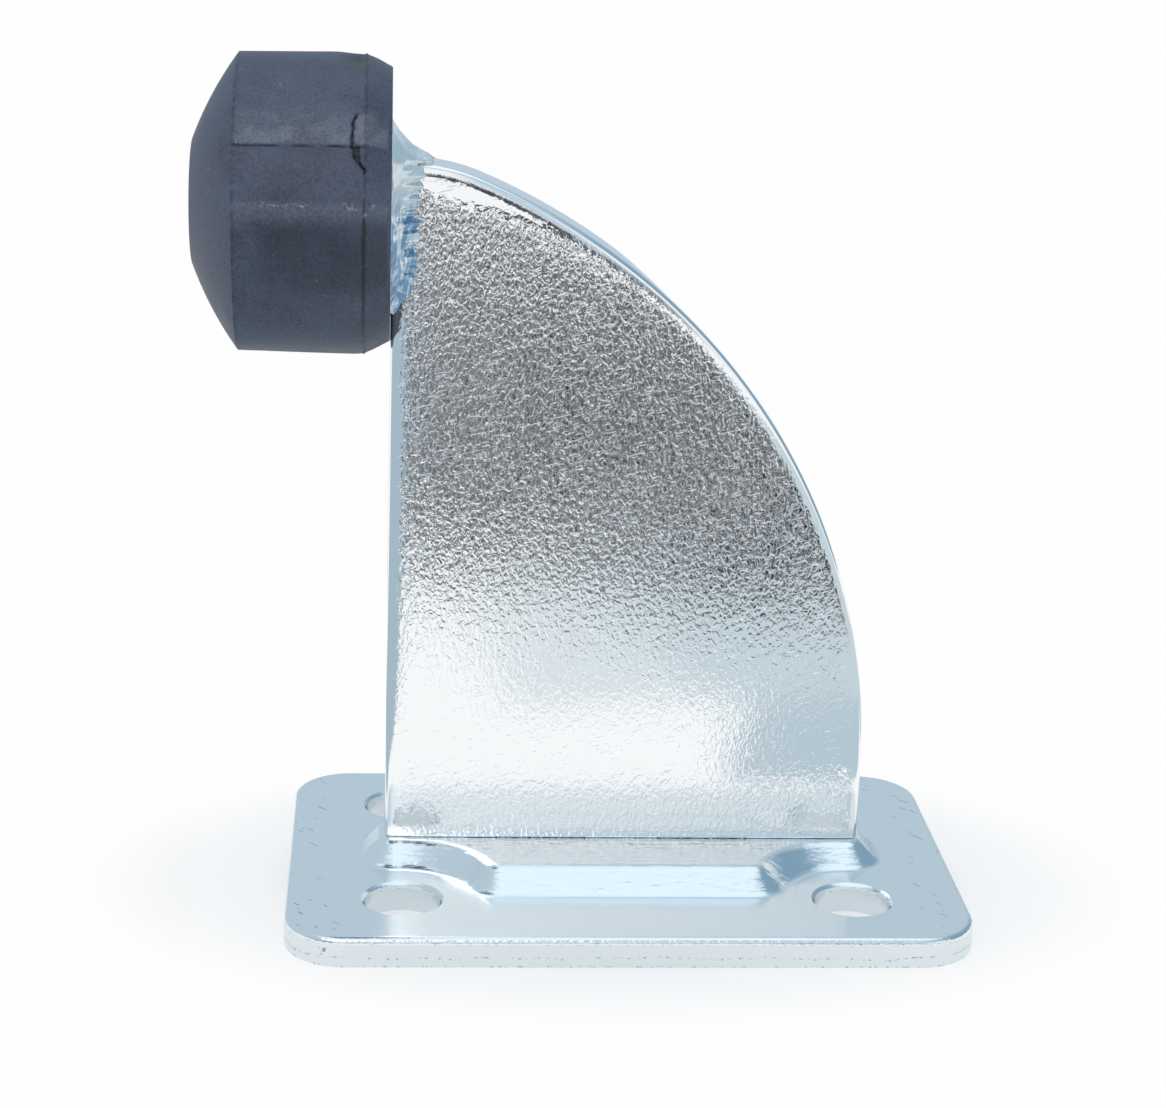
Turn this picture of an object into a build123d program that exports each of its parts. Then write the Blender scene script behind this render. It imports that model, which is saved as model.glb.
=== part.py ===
from build123d import *
from math import asin, degrees, radians, tan
import os

# Gate stop that is bolted to the ground, in millimetres.
# Origin: middle of the base plate's underside. +X runs along the plate away from the buffer, +Z is up,
# and the upright's face with the rolled edges looks along -Y.

# Base plate, blanked from flat steel, with the upper edges rolled over by the punch
plate_length = 90.0
plate_depth = 56.5
plate_thickness = 4.0
plate_corner_radius = 8.0
plate_edge_roll = 0.8

# Fixing holes, pierced and broken at the upper rim
hole_diameter = 10.0
hole_spacing_x = 59.5
hole_spacing_y = 32.0
hole_edge_break = 0.4

# Raised pressing under the upright: a ridge along the plate, with a wider pad in the middle
pressing_height = 3.0
pressing_slope = 45.0
pad_width = 30.6
pad_corner_radius = 4.5
ridge_length = 71.0
ridge_width = 13.2
ridge_corner_radius = 4.5
crease_radius = 1.6
bend_radius = 1.8
hollow_inset = 1.3

# Upright, blanked from thicker steel
upright_thickness = 6.0
upright_setback = 12.8
upright_foot_length = 64.5
upright_height = 91.4
upright_heel_height = 10.8
upright_top_length = 6.5
upright_edge_roll = 1.5
upright_foot_roll = 0.4

# Tenons under the upright, and the welds that hold them in the pressing's hollow
tenon_length = 12.0
tenon_pitch = 22.0
tenon_reach = 1.8
slot_clearance = 0.1
foot_weld_leg = 1.8
foot_weld_toe = 0.4

# Steel disc welded to the upright's front edge, with a bevelled rim that holds the rubber
disc_face_radius = 14.0
disc_bevel = 2.0
disc_thickness = 4.0

# Weld round the upright's front end, slightly hollow in section
weld_leg = 3.0
weld_rise = 4.2
weld_waist_reach = 1.4
weld_waist_rise = 2.0
weld_toe = 0.2
weld_start_height = 79.4

# Rubber buffer, moulded with a slightly crowned nose and pushed over the disc
buffer_axis_height = 92.6
buffer_length = 24.8
buffer_diameter = 38.0
buffer_front_diameter = 37.4
buffer_flat_diameter = 15.9
buffer_nose_length = 5.8
buffer_nose_crown = 0.42
buffer_lip_length = 3.1
buffer_lip_drop = 1.8
buffer_gap = 0.2

# Places that follow from the sizes above
hole_x = hole_spacing_x / 2
hole_y = hole_spacing_y / 2
pad_side = pad_width / 2
ridge_side = ridge_width / 2
seat_radius = hole_y - ridge_side
slope_run = pressing_height / tan(radians(pressing_slope))
foot_height = plate_thickness + pressing_height
front_x = upright_setback - plate_length / 2
heel_x = front_x + upright_foot_length
heel_top = foot_height + upright_heel_height
upright_top = foot_height + upright_height
curve_start_x = front_x + upright_top_length
tenon_height = plate_thickness + tenon_reach
tenon_places = [-tenon_pitch / 2, tenon_pitch / 2]

os.makedirs("parts", exist_ok=True)

# Plan of the pressing at the plate's top. The flat seats round the holes bite into the pad's corners.
with BuildSketch() as pressing_plan:
    with BuildLine():
        seat_start = 180 + degrees(asin((hole_y - pad_side) / seat_radius))
        seat = CenterArc((hole_x, hole_y), seat_radius, seat_start, 270 - seat_start)
        Line((0, pad_side), seat @ 0)
        ridge_edge = Line(seat @ 1, (ridge_length / 2, ridge_side))
        Line(ridge_edge @ 1, (ridge_length / 2, 0))
        mirror(about=Plane.YZ)
        mirror(about=Plane.XZ)
    make_face()
    corners = pressing_plan.vertices()
    fillet(corners.group_by(Axis.Y)[0] + corners.group_by(Axis.Y)[-1], pad_corner_radius)
    corners = pressing_plan.vertices()
    fillet(corners.group_by(Axis.X)[0] + corners.group_by(Axis.X)[-1], ridge_corner_radius)

# Base plate with the pressing raised out of it, its hollow, the tenon slots and the fixing holes
with BuildPart() as base_plate:
    with BuildSketch():
        RectangleRounded(plate_length, plate_depth, plate_corner_radius)
    extrude(amount=plate_thickness)
    with BuildSketch(Plane.XY.offset(plate_thickness)):
        add(pressing_plan.sketch)
    with BuildSketch(Plane.XY.offset(foot_height)):
        add(pressing_plan.sketch)
        offset(amount=-slope_run)
    loft(ruled=True)
    crown = base_plate.faces().sort_by(Axis.Z)[-1]
    fillet(crown.outer_wire().edges(), bend_radius)
    land = base_plate.faces().filter_by(Axis.Z).group_by(Axis.Z)[1].face()
    fillet(land.inner_wires()[0].edges(), crease_radius)
    land = base_plate.faces().filter_by(Axis.Z).group_by(Axis.Z)[1].face()
    fillet(land.outer_wire().edges(), plate_edge_roll)

    with BuildSketch():
        add(pressing_plan.sketch)
        offset(amount=-hollow_inset)
    with BuildSketch(Plane.XY.offset(pressing_height)):
        add(pressing_plan.sketch)
        offset(amount=-hollow_inset - slope_run)
    loft(ruled=True, mode=Mode.SUBTRACT)

    with BuildSketch(Plane.XY.offset(foot_height)):
        with Locations(*[(x, 0) for x in tenon_places]):
            Rectangle(tenon_length + 2 * slot_clearance, upright_thickness + 2 * slot_clearance)
    extrude(amount=-plate_thickness, mode=Mode.SUBTRACT)

    with Locations((0, 0, plate_thickness)):
        with GridLocations(hole_spacing_x, hole_spacing_y, 2, 2):
            Hole(hole_diameter / 2)
    hole_rims = base_plate.edges().filter_by(GeomType.CIRCLE).filter_by(
        lambda e: abs(e.radius - hole_diameter / 2) < 1e-4 and abs(e.center().Z - plate_thickness) < 1e-4
    )
    chamfer(hole_rims, hole_edge_break)
base_plate.part.label = "base_plate"
export_step(base_plate.part, "parts/base_plate.step")

# Upright: straight front, short flat top, curved back that ends upright at the heel, and two tenons under the foot
with BuildPart() as upright:
    with BuildSketch(Plane.XZ):
        with BuildLine():
            front = Polyline((front_x, foot_height), (front_x, upright_top), (curve_start_x, upright_top))
            heel = Line((heel_x, heel_top), (heel_x, foot_height))
            TangentArc(heel @ 0, front @ 1, tangent=(0, 1))
            Line(heel @ 1, front @ 0)
        make_face()
    extrude(amount=upright_thickness / 2, both=True)
    near_face = upright.faces().sort_by(Axis.Y)[0]
    foot_edge = near_face.edges().sort_by(Axis.Z)[0]
    fillet(near_face.edges() - [foot_edge], upright_edge_roll)
    near_face = upright.faces().sort_by(Axis.Y)[0]
    fillet(near_face.edges().sort_by(Axis.Z)[0], upright_foot_roll)
    with Locations(*[(x, 0, foot_height - tenon_height / 2) for x in tenon_places]):
        Box(tenon_length, upright_thickness, tenon_height)
upright.part.label = "upright"
export_step(upright.part, "parts/upright.step")

# Welds round the tenons' ends, on the roof of the hollow
with BuildPart() as foot_welds:
    for x in tenon_places:
        with BuildSketch(Plane.XY.offset(pressing_height)):
            with Locations((x, 0)):
                Rectangle(tenon_length, upright_thickness)
            offset(amount=foot_weld_leg)
        with BuildSketch(Plane.XY.offset(pressing_height - tenon_reach)):
            with Locations((x, 0)):
                Rectangle(tenon_length, upright_thickness)
            offset(amount=foot_weld_toe)
        loft(ruled=True)
    with Locations(*[(x, 0, pressing_height - tenon_reach / 2) for x in tenon_places]):
        Box(tenon_length, upright_thickness, tenon_reach, mode=Mode.SUBTRACT)
foot_welds.part.label = "foot_welds"
export_step(foot_welds.part, "parts/foot_welds.step")

# Disc behind the rubber: its rim is bevelled towards the upright
buffer_axis = Axis((0, 0, buffer_axis_height), (1, 0, 0))
rim_radius = disc_face_radius + disc_bevel
disc_front_x = front_x - disc_thickness
with BuildPart() as buffer_disc:
    with BuildSketch(Plane.XZ.shift_origin((0, 0, buffer_axis_height))):
        with BuildLine():
            Polyline(
                (front_x, 0),
                (front_x, disc_face_radius),
                (front_x - disc_bevel, rim_radius),
                (disc_front_x, rim_radius),
                (disc_front_x, 0),
                close=True,
            )
        make_face()
    revolve(axis=buffer_axis)
buffer_disc.part.label = "buffer_disc"
export_step(buffer_disc.part, "parts/buffer_disc.step")

# Weld between the disc and the upright: up the near side, over the top and down the far side
# Each section is the upright's end, stood out by a rise that falls away from the disc.
weld_bottom = weld_start_height + weld_rise
weld_height = upright_top - weld_bottom
weld_sections = [(0, weld_rise), (weld_waist_reach, weld_waist_rise), (weld_leg, weld_toe)]
with BuildPart() as disc_weld:
    for reach, rise in weld_sections:
        with BuildSketch(Plane.YZ.offset(front_x + reach)):
            with Locations((0, weld_bottom + weld_height / 2)):
                Rectangle(upright_thickness, weld_height)
            offset(amount=rise)
    loft(ruled=True)
    add(upright.part, mode=Mode.SUBTRACT)
disc_weld.part.label = "disc_weld"
export_step(disc_weld.part, "parts/disc_weld.step")

# Rubber buffer: its pocket follows the disc, and the lip closes behind the disc's bevel
# The nose falls to its flat in two slopes that meet at the crown, off the middle of the straight way.
lip_x = front_x - buffer_gap
nose_x = lip_x - buffer_length
with BuildPart() as rubber_buffer:
    with BuildSketch(Plane.XZ.shift_origin((0, 0, buffer_axis_height))):
        with BuildLine():
            straight_way = Line(
                (nose_x, buffer_flat_diameter / 2),
                (nose_x + buffer_nose_length, buffer_front_diameter / 2),
                mode=Mode.PRIVATE,
            )
            outward = (straight_way % 0.5).rotate(Axis.Z, 90)
            crown_point = straight_way @ 0.5 + buffer_nose_crown * outward
            nose = Polyline(straight_way @ 0, crown_point, straight_way @ 1)
            Polyline(
                nose @ 1,
                (lip_x - buffer_lip_length, buffer_diameter / 2),
                (lip_x, buffer_diameter / 2 - buffer_lip_drop),
                (lip_x, disc_face_radius + buffer_gap),
                (front_x - disc_bevel, rim_radius),
                (disc_front_x, rim_radius),
                (disc_front_x, 0),
                (nose_x, 0),
                nose @ 0,
            )
        make_face()
    revolve(axis=buffer_axis)
rubber_buffer.part.label = "rubber_buffer"
export_step(rubber_buffer.part, "parts/rubber_buffer.step")
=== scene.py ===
# %% [markdown]
# A gate stop is bolted to the ground so that a gate swings against its rubber buffer. Here it is dressed
# for a picture. The solid model comes in first and stays as it is: it fixes every size and place. The
# pressed plate keeps its solid and only gets a finish, while the upright, the weld and the rubber are made
# again with the soft edges, lumps and marks that blanking, welding and moulding leave.

# %% Load the frame
import math

import bmesh
import bpy
from mathutils import Matrix, Vector, noise


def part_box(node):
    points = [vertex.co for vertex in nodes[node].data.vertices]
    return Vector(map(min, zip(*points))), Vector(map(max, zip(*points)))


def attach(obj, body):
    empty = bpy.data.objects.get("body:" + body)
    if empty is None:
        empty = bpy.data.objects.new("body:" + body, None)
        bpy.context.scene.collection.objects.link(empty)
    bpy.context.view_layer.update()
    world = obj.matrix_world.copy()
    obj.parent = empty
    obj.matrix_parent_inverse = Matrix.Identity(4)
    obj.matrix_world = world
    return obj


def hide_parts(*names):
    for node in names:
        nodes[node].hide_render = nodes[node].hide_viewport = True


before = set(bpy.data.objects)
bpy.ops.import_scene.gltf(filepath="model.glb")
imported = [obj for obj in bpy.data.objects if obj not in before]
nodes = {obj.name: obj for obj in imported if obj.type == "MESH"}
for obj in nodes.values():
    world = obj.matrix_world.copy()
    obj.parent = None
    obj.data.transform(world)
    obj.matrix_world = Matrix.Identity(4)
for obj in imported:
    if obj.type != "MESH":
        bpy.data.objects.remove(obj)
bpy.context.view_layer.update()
scene = bpy.context.scene
scene.view_settings.view_transform = "Standard"
MM = 0.001
print("CAD pieces:", sorted(nodes))

# %% [markdown]
# Every colour is written as an sRGB hex value, as a colour picker shows it, and one function turns it to
# the linear values that shaders work in. One more function adds any node with its settings and its links,
# so that each material below reads as a list of what feeds what. A node given as an input is linked by its
# first output. Pattern sizes are real sizes in millimetres.

# %% Colour and node helpers
def linear(hex_colour):
    channels = [int(hex_colour[i:i + 2], 16) / 255 for i in (1, 3, 5)]
    return [c / 12.92 if c <= 0.04045 else ((c + 0.055) / 1.055) ** 2.4 for c in channels] + [1.0]


def add(tree, kind, inputs=None, **settings):
    node = tree.nodes.new(kind)
    for name, value in settings.items():
        setattr(node, name, value)
    for socket, value in (inputs or {}).items():
        if isinstance(value, bpy.types.Node):
            value = value.outputs[0]
        if isinstance(value, bpy.types.NodeSocket):
            tree.links.new(value, node.inputs[socket])
        else:
            node.inputs[socket].default_value = value
    return node


def new_material(name):
    material = bpy.data.materials.new(name)
    material.use_nodes = True
    material.node_tree.nodes.clear()
    return material, material.node_tree


def per_mm(size):
    return 1 / (size * MM)


print("mid grey is", round(linear("#808080")[0], 3), "in linear light")

# %% [markdown]
# The camera stands a third of a metre in front of the stop, a little above it, and looks down at the plate.
# Its turn is written as pitch, yaw and a small roll, which is how far it was held off level. A lens is
# easier to measure in pixels than in millimetres, so the focal length is turned from one to the other.

# %% Camera
IMAGE_WIDTH = 1166
FOCAL_PIXELS = 2672.3
SENSOR = 36.0
camera_place = Vector((-32.05, -337.61, 151.04)) * MM
pitch, yaw, roll = math.radians(17.154), math.radians(4.351), math.radians(-1.974)

forward = Vector((math.sin(yaw) * math.cos(pitch), math.cos(yaw) * math.cos(pitch), -math.sin(pitch)))
right = Vector((math.cos(yaw), -math.sin(yaw), 0))
down = forward.cross(right)
right_rolled = math.cos(roll) * right + math.sin(roll) * down
down_rolled = math.cos(roll) * down - math.sin(roll) * right

camera_data = bpy.data.cameras.new("camera")
camera_data.sensor_width = SENSOR
camera_data.lens = FOCAL_PIXELS / IMAGE_WIDTH * SENSOR
camera_data.clip_start = 0.01
camera = bpy.data.objects.new("camera", camera_data)
camera_axes = Matrix((right_rolled, -down_rolled, -forward)).transposed()
camera.matrix_world = Matrix.Translation(camera_place) @ camera_axes.to_4x4()
scene.collection.objects.link(camera)
scene.camera = camera
print("lens", round(camera_data.lens, 2), "mm")

# %% [markdown]
# The stop stands on a sheet of white paper. To the camera, and in what the metal mirrors, the paper glows
# at plain white. Close round the plate that glow gives way to the paper itself, which can be shaded, so the
# stop still sits in its own soft shadow, and under the plate, where the holes show it, the paper glows
# least. The shaded patch is longer along the plate, so its distance is squeezed in X.

# %% White floor
UNDER_END, SHADE_START, SHADE_END = 25 * MM, 31 * MM, 48 * MM
UNDER_GLOW, SHADE_GLOW, OPEN_GLOW = 0.5, 0.75, 0.985
SHADE_SQUEEZE = 0.62

white_paper, tree = new_material("white paper")
rays = add(tree, "ShaderNodeLightPath")
seen = add(tree, "ShaderNodeMath", {0: rays.outputs["Is Camera Ray"], 1: rays.outputs["Is Glossy Ray"]},
           operation="MAXIMUM")
seen = add(tree, "ShaderNodeMath", {0: seen, 1: rays.outputs["Is Transmission Ray"]}, operation="MAXIMUM")
place = add(tree, "ShaderNodeTexCoord").outputs["Object"]
squeezed = add(tree, "ShaderNodeVectorMath", {0: place, 1: (SHADE_SQUEEZE, 1, 1)}, operation="MULTIPLY")
reach = add(tree, "ShaderNodeVectorMath", {0: squeezed}, operation="LENGTH").outputs["Value"]
under = add(tree, "ShaderNodeMapRange", {0: reach, 1: UNDER_END, 2: SHADE_START, 3: UNDER_GLOW,
                                         4: SHADE_GLOW})
clear = add(tree, "ShaderNodeMapRange", {0: reach, 1: SHADE_START, 2: SHADE_END, 3: 0.0,
                                         4: OPEN_GLOW - SHADE_GLOW}, interpolation_type="SMOOTHSTEP")
clear = add(tree, "ShaderNodeMath", {0: under, 1: clear}, operation="ADD")
share = add(tree, "ShaderNodeMath", {0: seen, 1: clear}, operation="MULTIPLY")
matt = add(tree, "ShaderNodeBsdfDiffuse", {"Color": linear("#F4F5F5")})
glow = add(tree, "ShaderNodeEmission", {"Color": linear("#FFFFFF"), "Strength": 1.0})
surface = add(tree, "ShaderNodeMixShader", {0: share, 1: matt, 2: glow})
add(tree, "ShaderNodeOutputMaterial", {"Surface": surface})


def flat_sheet(name, corners, height, material):
    mesh = bpy.data.meshes.new(name)
    mesh.from_pydata([(x * MM, y * MM, height * MM) for x, y in corners], [], [list(range(len(corners)))])
    mesh.materials.append(material)
    sheet = bpy.data.objects.new(name, mesh)
    scene.collection.objects.link(sheet)
    return sheet


FLOOR_REACH = 4000
floor_corners = [(x * FLOOR_REACH, y * FLOOR_REACH) for x, y in ((-1, -1), (1, -1), (1, 1), (-1, 1))]
flat_sheet("floor", floor_corners, 0, white_paper)
print("floor", 2 * FLOOR_REACH * MM, "m wide")

# %% [markdown]
# Bright metal has hardly a colour of its own: it shows what lies in front of it. A product photographer
# lays cards beside the camera for that, and so does this scene. The upright's face mirrors the floor in
# front, so a dark card there gives its upper half the deep tone in which the steel's grain stands out, and
# pale cards on both sides tone the rolled edges. Close to the plate a small blue card darkens the foot of
# the upright towards its heel, a paler one keeps the middle of the foot bright, and one more dark card
# serves the back. The dark cards are patchy, so that even the faint slopes of the grain find something
# lighter or darker to mirror. All of them glow a little, so that the metal shows each in just its own tone,
# and they are hidden from the camera.

# %% Cards for the metal to mirror
CARD_HEIGHT = 2.0
CARD_PATCH = 45.0
CARD_PATCH_GLOW = {"dark card": 0.58, "back card": 0.58}
PATCH_START, PATCH_FULL = 0.46, 0.58
PATCH_GLOW_TONE = "#E0E2E4"
cards = {
    "dark card": ("#28272F", [(-54, -148), (-110, -640), (130, -640), (78, -113)]),
    "pale card left": ("#AABDC9", [(-54, -148), (-45, -76), (-50, -42), (-57, -30), (-62, 60), (-350, 60),
                                   (-350, -640), (-110, -640)]),
    "pale card right": ("#CAD8DF", [(8, -131), (16, -72), (86, -72), (90, 60), (350, 60), (350, -640),
                                    (130, -640), (78, -113)]),
    "blue card": ("#BACBD5", [(18, -37), (58, -34), (86, -72), (27, -72)]),
    "middle card": ("#DEE7EB", [(-20, -131), (-12, -66), (16, -72), (8, -131)]),
    "back card": ("#28272F", [(54, 130), (110, 640), (-130, 640), (-78, 110)]),
}
for name, (colour, corners) in cards.items():
    card_board, tree = new_material(name)
    place = add(tree, "ShaderNodeTexCoord").outputs["Object"]
    # The pale patches are painted light in the cards' glow, for the metal to mirror.
    pale_patch = add(tree, "ShaderNodeTexNoise", {"Vector": place, "Scale": per_mm(CARD_PATCH), "Detail": 1.0})
    pale_patch = add(tree, "ShaderNodeMapRange", {0: pale_patch, 1: PATCH_START, 2: PATCH_FULL, 3: 0.0,
                                            4: CARD_PATCH_GLOW.get(name, 0.0)})
    tone = add(tree, "ShaderNodeMix", {0: pale_patch, 6: linear(colour), 7: linear(PATCH_GLOW_TONE)}, data_type="RGBA")
    glow = add(tree, "ShaderNodeEmission", {"Color": tone.outputs[2], "Strength": 1.0})
    add(tree, "ShaderNodeOutputMaterial", {"Surface": glow})
    sheet = flat_sheet(name.replace(" ", "_"), corners, CARD_HEIGHT, card_board)
    sheet.visible_camera = False
    sheet.visible_shadow = False
print(len(cards), "cards beside the camera")

# %% [markdown]
# The room round the stop is a pale blue-grey, deeper on the right. Low in front it is dark, as a room is
# behind the photographer, and above that stand two bright windows. The plate sees the one straight ahead by
# way of the upright's foot, and the curved edge sees the one on the right. Each border is a soft ramp along
# one axis of the view. To the camera itself the room is plain white.

# %% Room
LEFT_WALL, RIGHT_WALL, WINDOW_LIGHT, DARK_ROOM = "#BECFDC", "#84A4BB", "#F8FAFA", "#46444D"

world = bpy.data.worlds.new("studio")
scene.world = world
world.use_nodes = True
tree = world.node_tree
tree.nodes.clear()
toward = add(tree, "ShaderNodeSeparateXYZ", {0: add(tree, "ShaderNodeTexCoord").outputs["Generated"]})
ramps = {}
for name, axis, start, end in (("right", "X", 0.25, 0.75), ("front", "Y", -0.2, -0.6),
                               ("high", "Z", 0.06, 0.17), ("over", "Z", 0.55, 0.36),
                               ("window 1 in", "X", -0.45, -0.25), ("window 1 out", "X", 0.26, 0.1),
                               ("window 2 in", "X", 0.26, 0.36), ("window 2 out", "X", 0.95, 0.8),
                               ("dark out", "X", 0.45, 0.15)):
    ramps[name] = add(tree, "ShaderNodeMapRange", {0: toward.outputs[axis], 1: start, 2: end, 3: 0.0, 4: 1.0},
                      interpolation_type="SMOOTHSTEP")
windows = [add(tree, "ShaderNodeMath", {0: ramps[f"window {k} in"], 1: ramps[f"window {k} out"]},
               operation="MULTIPLY") for k in (1, 2)]
window = add(tree, "ShaderNodeMath", {0: windows[0], 1: windows[1]}, operation="MAXIMUM")
window = add(tree, "ShaderNodeMath", {0: window, 1: ramps["over"]}, operation="MULTIPLY")
window = add(tree, "ShaderNodeMath", {0: window, 1: ramps["front"]}, operation="MULTIPLY")
walls = add(tree, "ShaderNodeMix", {0: ramps["right"], 6: linear(LEFT_WALL), 7: linear(RIGHT_WALL)},
            data_type="RGBA")
lit = add(tree, "ShaderNodeMix", {0: window, 6: walls.outputs[2], 7: linear(WINDOW_LIGHT)}, data_type="RGBA")
low = add(tree, "ShaderNodeMath", {0: ramps["front"], 1: ramps["high"]}, operation="SUBTRACT", use_clamp=True)
low = add(tree, "ShaderNodeMath", {0: low, 1: ramps["dark out"]}, operation="MULTIPLY")
room = add(tree, "ShaderNodeMix", {0: low, 6: lit.outputs[2], 7: linear(DARK_ROOM)}, data_type="RGBA")
to_camera = add(tree, "ShaderNodeLightPath").outputs["Is Camera Ray"]
view = add(tree, "ShaderNodeMix", {0: to_camera, 6: room.outputs[2], 7: linear("#FFFFFF")}, data_type="RGBA")
backdrop = add(tree, "ShaderNodeBackground", {"Color": view.outputs[2], "Strength": 1.0})
add(tree, "ShaderNodeOutputWorld", {"Surface": backdrop})
print("room with", len(windows), "windows")

# %% [markdown]
# Two soft lamps light the stop from above and from the front left. They are as large as a photographer's
# softboxes, so shadows are soft, and their level is plain, so that a colour comes out about as written.

# %% Lamps
LAMP_AIM = Vector((0, 0, 0.05))


def soft_lamp(name, place, size, colour, strength):
    data = bpy.data.lights.new(name, "AREA")
    data.shape = "RECTANGLE"
    data.size, data.size_y = size
    data.energy = strength * math.pi * size[0] * size[1]
    data.color = linear(colour)[:3]
    lamp = bpy.data.objects.new(name, data)
    lamp.location = place
    aim = LAMP_AIM - lamp.location
    lamp.rotation_euler = aim.to_track_quat("-Z", "Y").to_euler()
    scene.collection.objects.link(lamp)
    print(name, round(data.energy, 2), "W")


soft_lamp("overhead softbox", (0.04, -0.05, 0.8), (0.75, 0.85), "#F0F8FD", 0.45)
soft_lamp("front softbox", (-0.32, -0.7, 0.65), (0.6, 0.35), "#FFFFFF", 1.8)

# %% [markdown]
# The upright was punched out of thick strip. The punch drags the rim of its face down with it, which leaves
# a tight round at the very edge, a slower fall behind it and, in front and near the top, a wide faint sag.
# A plain bevel would give one even line of light. Three falls added together give what the real edge shows:
# a bright line, a dark line and a soft pale zone before the grain begins. Only the foot, which stands on
# the plate, was sheared square.

# %% Fall of the upright's face towards its edge
upright_low, upright_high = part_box("upright")
front_x, heel_x, top_z = upright_low.x, upright_high.x, upright_high.z
near_y, far_y = upright_low.y, upright_high.y
foot_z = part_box("base_plate")[1].z
EDGE_WIDTH, EDGE_DEPTH = 0.5 * MM, 0.8 * MM
FALL_WIDTH, FALL_DEPTH = 1.6 * MM, 0.18 * MM
SAG_WIDTH, SAG_DEPTH = 5.4 * MM, 0.27 * MM
SAG_START, SAG_FULL = 66 * MM, 86 * MM
FRONT_REACH = 2.0 * MM
FOOT_ROUND = 0.4 * MM
BACK_RIM = 0.6 * MM
CORNER_SHARE = 0.7


def fade(value, start, end):
    t = min(1, max(0, (value - start) / (end - start)))
    return t * t * (3 - 2 * t)


def fall_back(inset, from_front, height):
    edge = max(0, 1 - inset / EDGE_WIDTH)
    fall = max(0, 1 - inset / FALL_WIDTH)
    at_front = 1 - fade(from_front, inset, inset + FRONT_REACH)
    sag = max(0, 1 - inset / SAG_WIDTH) * max(at_front, fade(height, SAG_START, SAG_FULL))
    foot = max(0, 1 - height / FOOT_ROUND)
    return (EDGE_DEPTH * (1 - math.sqrt(1 - edge**2)) + FALL_DEPTH * fall**2 + SAG_DEPTH * sag**2
            + FOOT_ROUND * (1 - math.sqrt(1 - foot**2)))


print("the rim falls back", round(fall_back(0, 0, 1) / MM, 2), "mm")

# %% [markdown]
# The outline is a straight front, a short flat top and one arc that ends upright at the heel. It is written
# as a function of the distance from the edge, so that the same lines can be drawn again further in. A short
# bend softens the corner between the top and the arc.

# %% Upright's outline
HEEL_HEIGHT = 10.8 * MM
TOP_LENGTH = 6.5 * MM
heel_z = foot_z + HEEL_HEIGHT
curve_run = heel_x - front_x - TOP_LENGTH
curve_rise = top_z - heel_z
curve_radius = (curve_run**2 + curve_rise**2) / (2 * curve_run)
curve_centre = heel_x - curve_radius
foot_steps = [FOOT_ROUND * t for t in (0, 0.1, 0.3, 0.6, 1)]
FRONT_STEPS, TOP_STEPS, CORNER_STEPS, CURVE_STEPS, HEEL_STEPS = 50, 3, 5, 90, 6


def bend(start, pull, end, t):
    return (1 - t) ** 2 * start + 2 * t * (1 - t) * pull + t**2 * end


def outline(inset):
    side, top = front_x + inset, top_z - inset
    radius = curve_radius - inset
    join = math.acos(math.sqrt(radius**2 - (top - heel_z) ** 2) / radius)
    join_x = curve_centre + radius * math.cos(join)
    low = foot_z + FOOT_ROUND
    points = [(side, foot_z + h) for h in foot_steps]
    points += [(side, low + (top - low) * t / FRONT_STEPS) for t in range(1, FRONT_STEPS + 1)]
    ease = CORNER_SHARE * (join_x - side)
    start = join - ease / radius
    landing = Vector((curve_centre + radius * math.cos(start), heel_z + radius * math.sin(start)))
    points += [(side + (join_x - ease - side) * t / TOP_STEPS, top) for t in range(1, TOP_STEPS + 1)]
    leaving, corner = Vector((join_x - ease, top)), Vector((join_x, top))
    for k in range(1, CORNER_STEPS + 1):
        points.append(tuple(bend(leaving, corner, landing, k / CORNER_STEPS)))
    turns = [start * (1 - t / CURVE_STEPS) for t in range(1, CURVE_STEPS + 1)]
    points += [(curve_centre + radius * math.cos(a), heel_z + radius * math.sin(a)) for a in turns]
    points += [(heel_x - inset, heel_z + (low - heel_z) * t / HEEL_STEPS) for t in range(1, HEEL_STEPS + 1)]
    return points + [(heel_x - inset, foot_z + h) for h in foot_steps[-2::-1]]


print("outline with", len(outline(0)), "points")

# %% [markdown]
# Drawn again and again, each time a little further in, the outline gives one ring of points after another,
# and the fall above sets how deep each ring lies. The back is two flat rings more.

# %% Rings of the upright's face
FALL_RINGS, SAG_RINGS = 6, 8
insets = [EDGE_WIDTH * t for t in (0, 0.03, 0.1, 0.2, 0.35, 0.5, 0.65, 0.8, 1)]
insets += [EDGE_WIDTH + (FALL_WIDTH - EDGE_WIDTH) * t / FALL_RINGS for t in range(1, FALL_RINGS + 1)]
insets += [FALL_WIDTH + (SAG_WIDTH - FALL_WIDTH) * t / SAG_RINGS for t in range(1, SAG_RINGS + 1)]
rings = [[(x, near_y + fall_back(s, x - front_x, z - foot_z), z) for x, z in outline(s)] for s in insets]
rings.insert(0, [(x, far_y, z) for x, z in outline(0)])
rings.insert(0, [(x, far_y, z) for x, z in outline(BACK_RIM)])
print(len(rings), "rings of", len(rings[0]), "points")

# %% [markdown]
# Quads join each ring to the next, a many-sided face closes the middle, and the back and the foot are
# closed flat. Two tenons under the foot pass through the plate.

# %% Upright's points and faces
count = len(rings[0])
last = count - 1
points = [p for ring in rings for p in ring]
faces = []
for k in range(len(rings) - 1):
    for i in range(last):
        a, b = k * count + i, (k + 1) * count + i
        faces.append((a, a + 1, b + 1, b))
inner = (len(rings) - 1) * count
for i in range(len(foot_steps) - 1):
    faces.append((inner + i, inner + i + 1, inner + last - i - 1, inner + last - i))
faces.append([inner + i for i in range(len(foot_steps) - 1, count - len(foot_steps) + 1)])
faces.append(list(range(count)))
faces.append([k * count for k in range(len(rings))] + [k * count + last for k in reversed(range(len(rings)))])

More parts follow.
